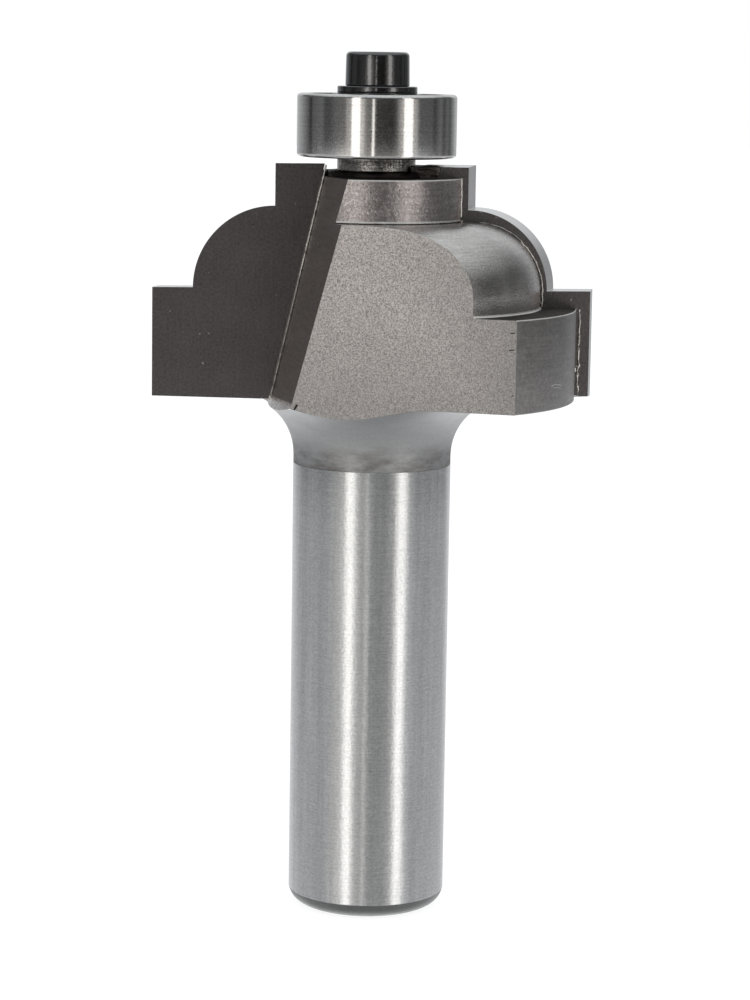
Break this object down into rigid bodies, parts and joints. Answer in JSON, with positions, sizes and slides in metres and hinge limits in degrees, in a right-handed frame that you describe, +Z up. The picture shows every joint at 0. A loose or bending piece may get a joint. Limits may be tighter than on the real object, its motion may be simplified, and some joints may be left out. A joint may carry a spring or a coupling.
{
  "type": "router bit",
  "caption": "Carbide-tipped router bit for a stepped quarter-round profile, with a ground shank, a winged steel head and a ball-bearing guide under a socket cap screw.",
  "frame": {"origin": "centre of the shank's end face, which the bit stands on", "axes": "+Z up the shank's axis to the guide bearing and its screw; the cutting faces lie in the XZ plane, with carbide_tip_1 on the +X side facing +Y"},
  "size_m": [0.0356, 0.0264, 0.0692],
  "materials": {
    "body_steel": "ground shank with fine turned lines, bead-blasted head",
    "carbide": "ground cemented carbide, dark grey with fine straight grinding lines",
    "silver_braze": "solidified silver braze, bright and wavy",
    "bearing_steel": "polished bearing steel",
    "pressed_steel": "satin pressed sheet steel",
    "cage_polyamide": "moulded polyamide, ivory and slightly glossy",
    "black_oxide": "glossy black oxide"
  },
  "bodies": {
    "cutter": {"cutter_body": "body_steel", "carbide_tip_1": "carbide", "carbide_tip_2": "carbide", "braze_1": "silver_braze", "braze_2": "silver_braze", "bearing_inner_ring": "bearing_steel", "washer": "black_oxide", "cap_screw": "black_oxide"},
    "outer_race": {"bearing_outer_ring": "bearing_steel", "shield_upper": "pressed_steel", "shield_lower": "pressed_steel", "snap_ring_upper": "pressed_steel", "snap_ring_lower": "pressed_steel"},
    "cage": {"ball_cage": "cage_polyamide"},
    "rolling_ball_1": {"ball_1": "bearing_steel"},
    "rolling_ball_2": {"ball_2": "bearing_steel"},
    "rolling_ball_3": {"ball_3": "bearing_steel"},
    "rolling_ball_4": {"ball_4": "bearing_steel"},
    "rolling_ball_5": {"ball_5": "bearing_steel"},
    "rolling_ball_6": {"ball_6": "bearing_steel"},
    "rolling_ball_7": {"ball_7": "bearing_steel"}
  },
  "joints": [
    {"name": "outer_race_spin", "type": "hinge", "parent": "cutter", "child": "outer_race", "pos_m": [0, 0, 0.06339], "axis": [0, 0, 1], "continuous": true},
    {"name": "cage_spin", "type": "hinge", "parent": "cutter", "child": "cage", "pos_m": [0, 0, 0.06339], "axis": [0, 0, 1], "continuous": true},
    {"name": "ball_1_spin", "type": "hinge", "parent": "cage", "child": "rolling_ball_1", "pos_m": [0.00437, 0, 0.06339], "axis": [0, 0, 1], "continuous": true},
    {"name": "ball_2_spin", "type": "hinge", "parent": "cage", "child": "rolling_ball_2", "pos_m": [0.00272, 0.00341, 0.06339], "axis": [0, 0, 1], "continuous": true},
    {"name": "ball_3_spin", "type": "hinge", "parent": "cage", "child": "rolling_ball_3", "pos_m": [-0.00097, 0.00426, 0.06339], "axis": [0, 0, 1], "continuous": true},
    {"name": "ball_4_spin", "type": "hinge", "parent": "cage", "child": "rolling_ball_4", "pos_m": [-0.00393, 0.00189, 0.06339], "axis": [0, 0, 1], "continuous": true},
    {"name": "ball_5_spin", "type": "hinge", "parent": "cage", "child": "rolling_ball_5", "pos_m": [-0.00393, -0.00189, 0.06339], "axis": [0, 0, 1], "continuous": true},
    {"name": "ball_6_spin", "type": "hinge", "parent": "cage", "child": "rolling_ball_6", "pos_m": [-0.00097, -0.00426, 0.06339], "axis": [0, 0, 1], "continuous": true},
    {"name": "ball_7_spin", "type": "hinge", "parent": "cage", "child": "rolling_ball_7", "pos_m": [0.00272, -0.00341, 0.06339], "axis": [0, 0, 1], "continuous": true}
  ],
  "couplings": [
    {"joint": "cage_spin", "follows": "outer_race_spin", "ratio": 0.63635},
    {"joint": "ball_1_spin", "follows": "outer_race_spin", "ratio": 1.6972},
    {"joint": "ball_2_spin", "follows": "outer_race_spin", "ratio": 1.6972},
    {"joint": "ball_3_spin", "follows": "outer_race_spin", "ratio": 1.6972},
    {"joint": "ball_4_spin", "follows": "outer_race_spin", "ratio": 1.6972},
    {"joint": "ball_5_spin", "follows": "outer_race_spin", "ratio": 1.6972},
    {"joint": "ball_6_spin", "follows": "outer_race_spin", "ratio": 1.6972},
    {"joint": "ball_7_spin", "follows": "outer_race_spin", "ratio": 1.6972}
  ]
}
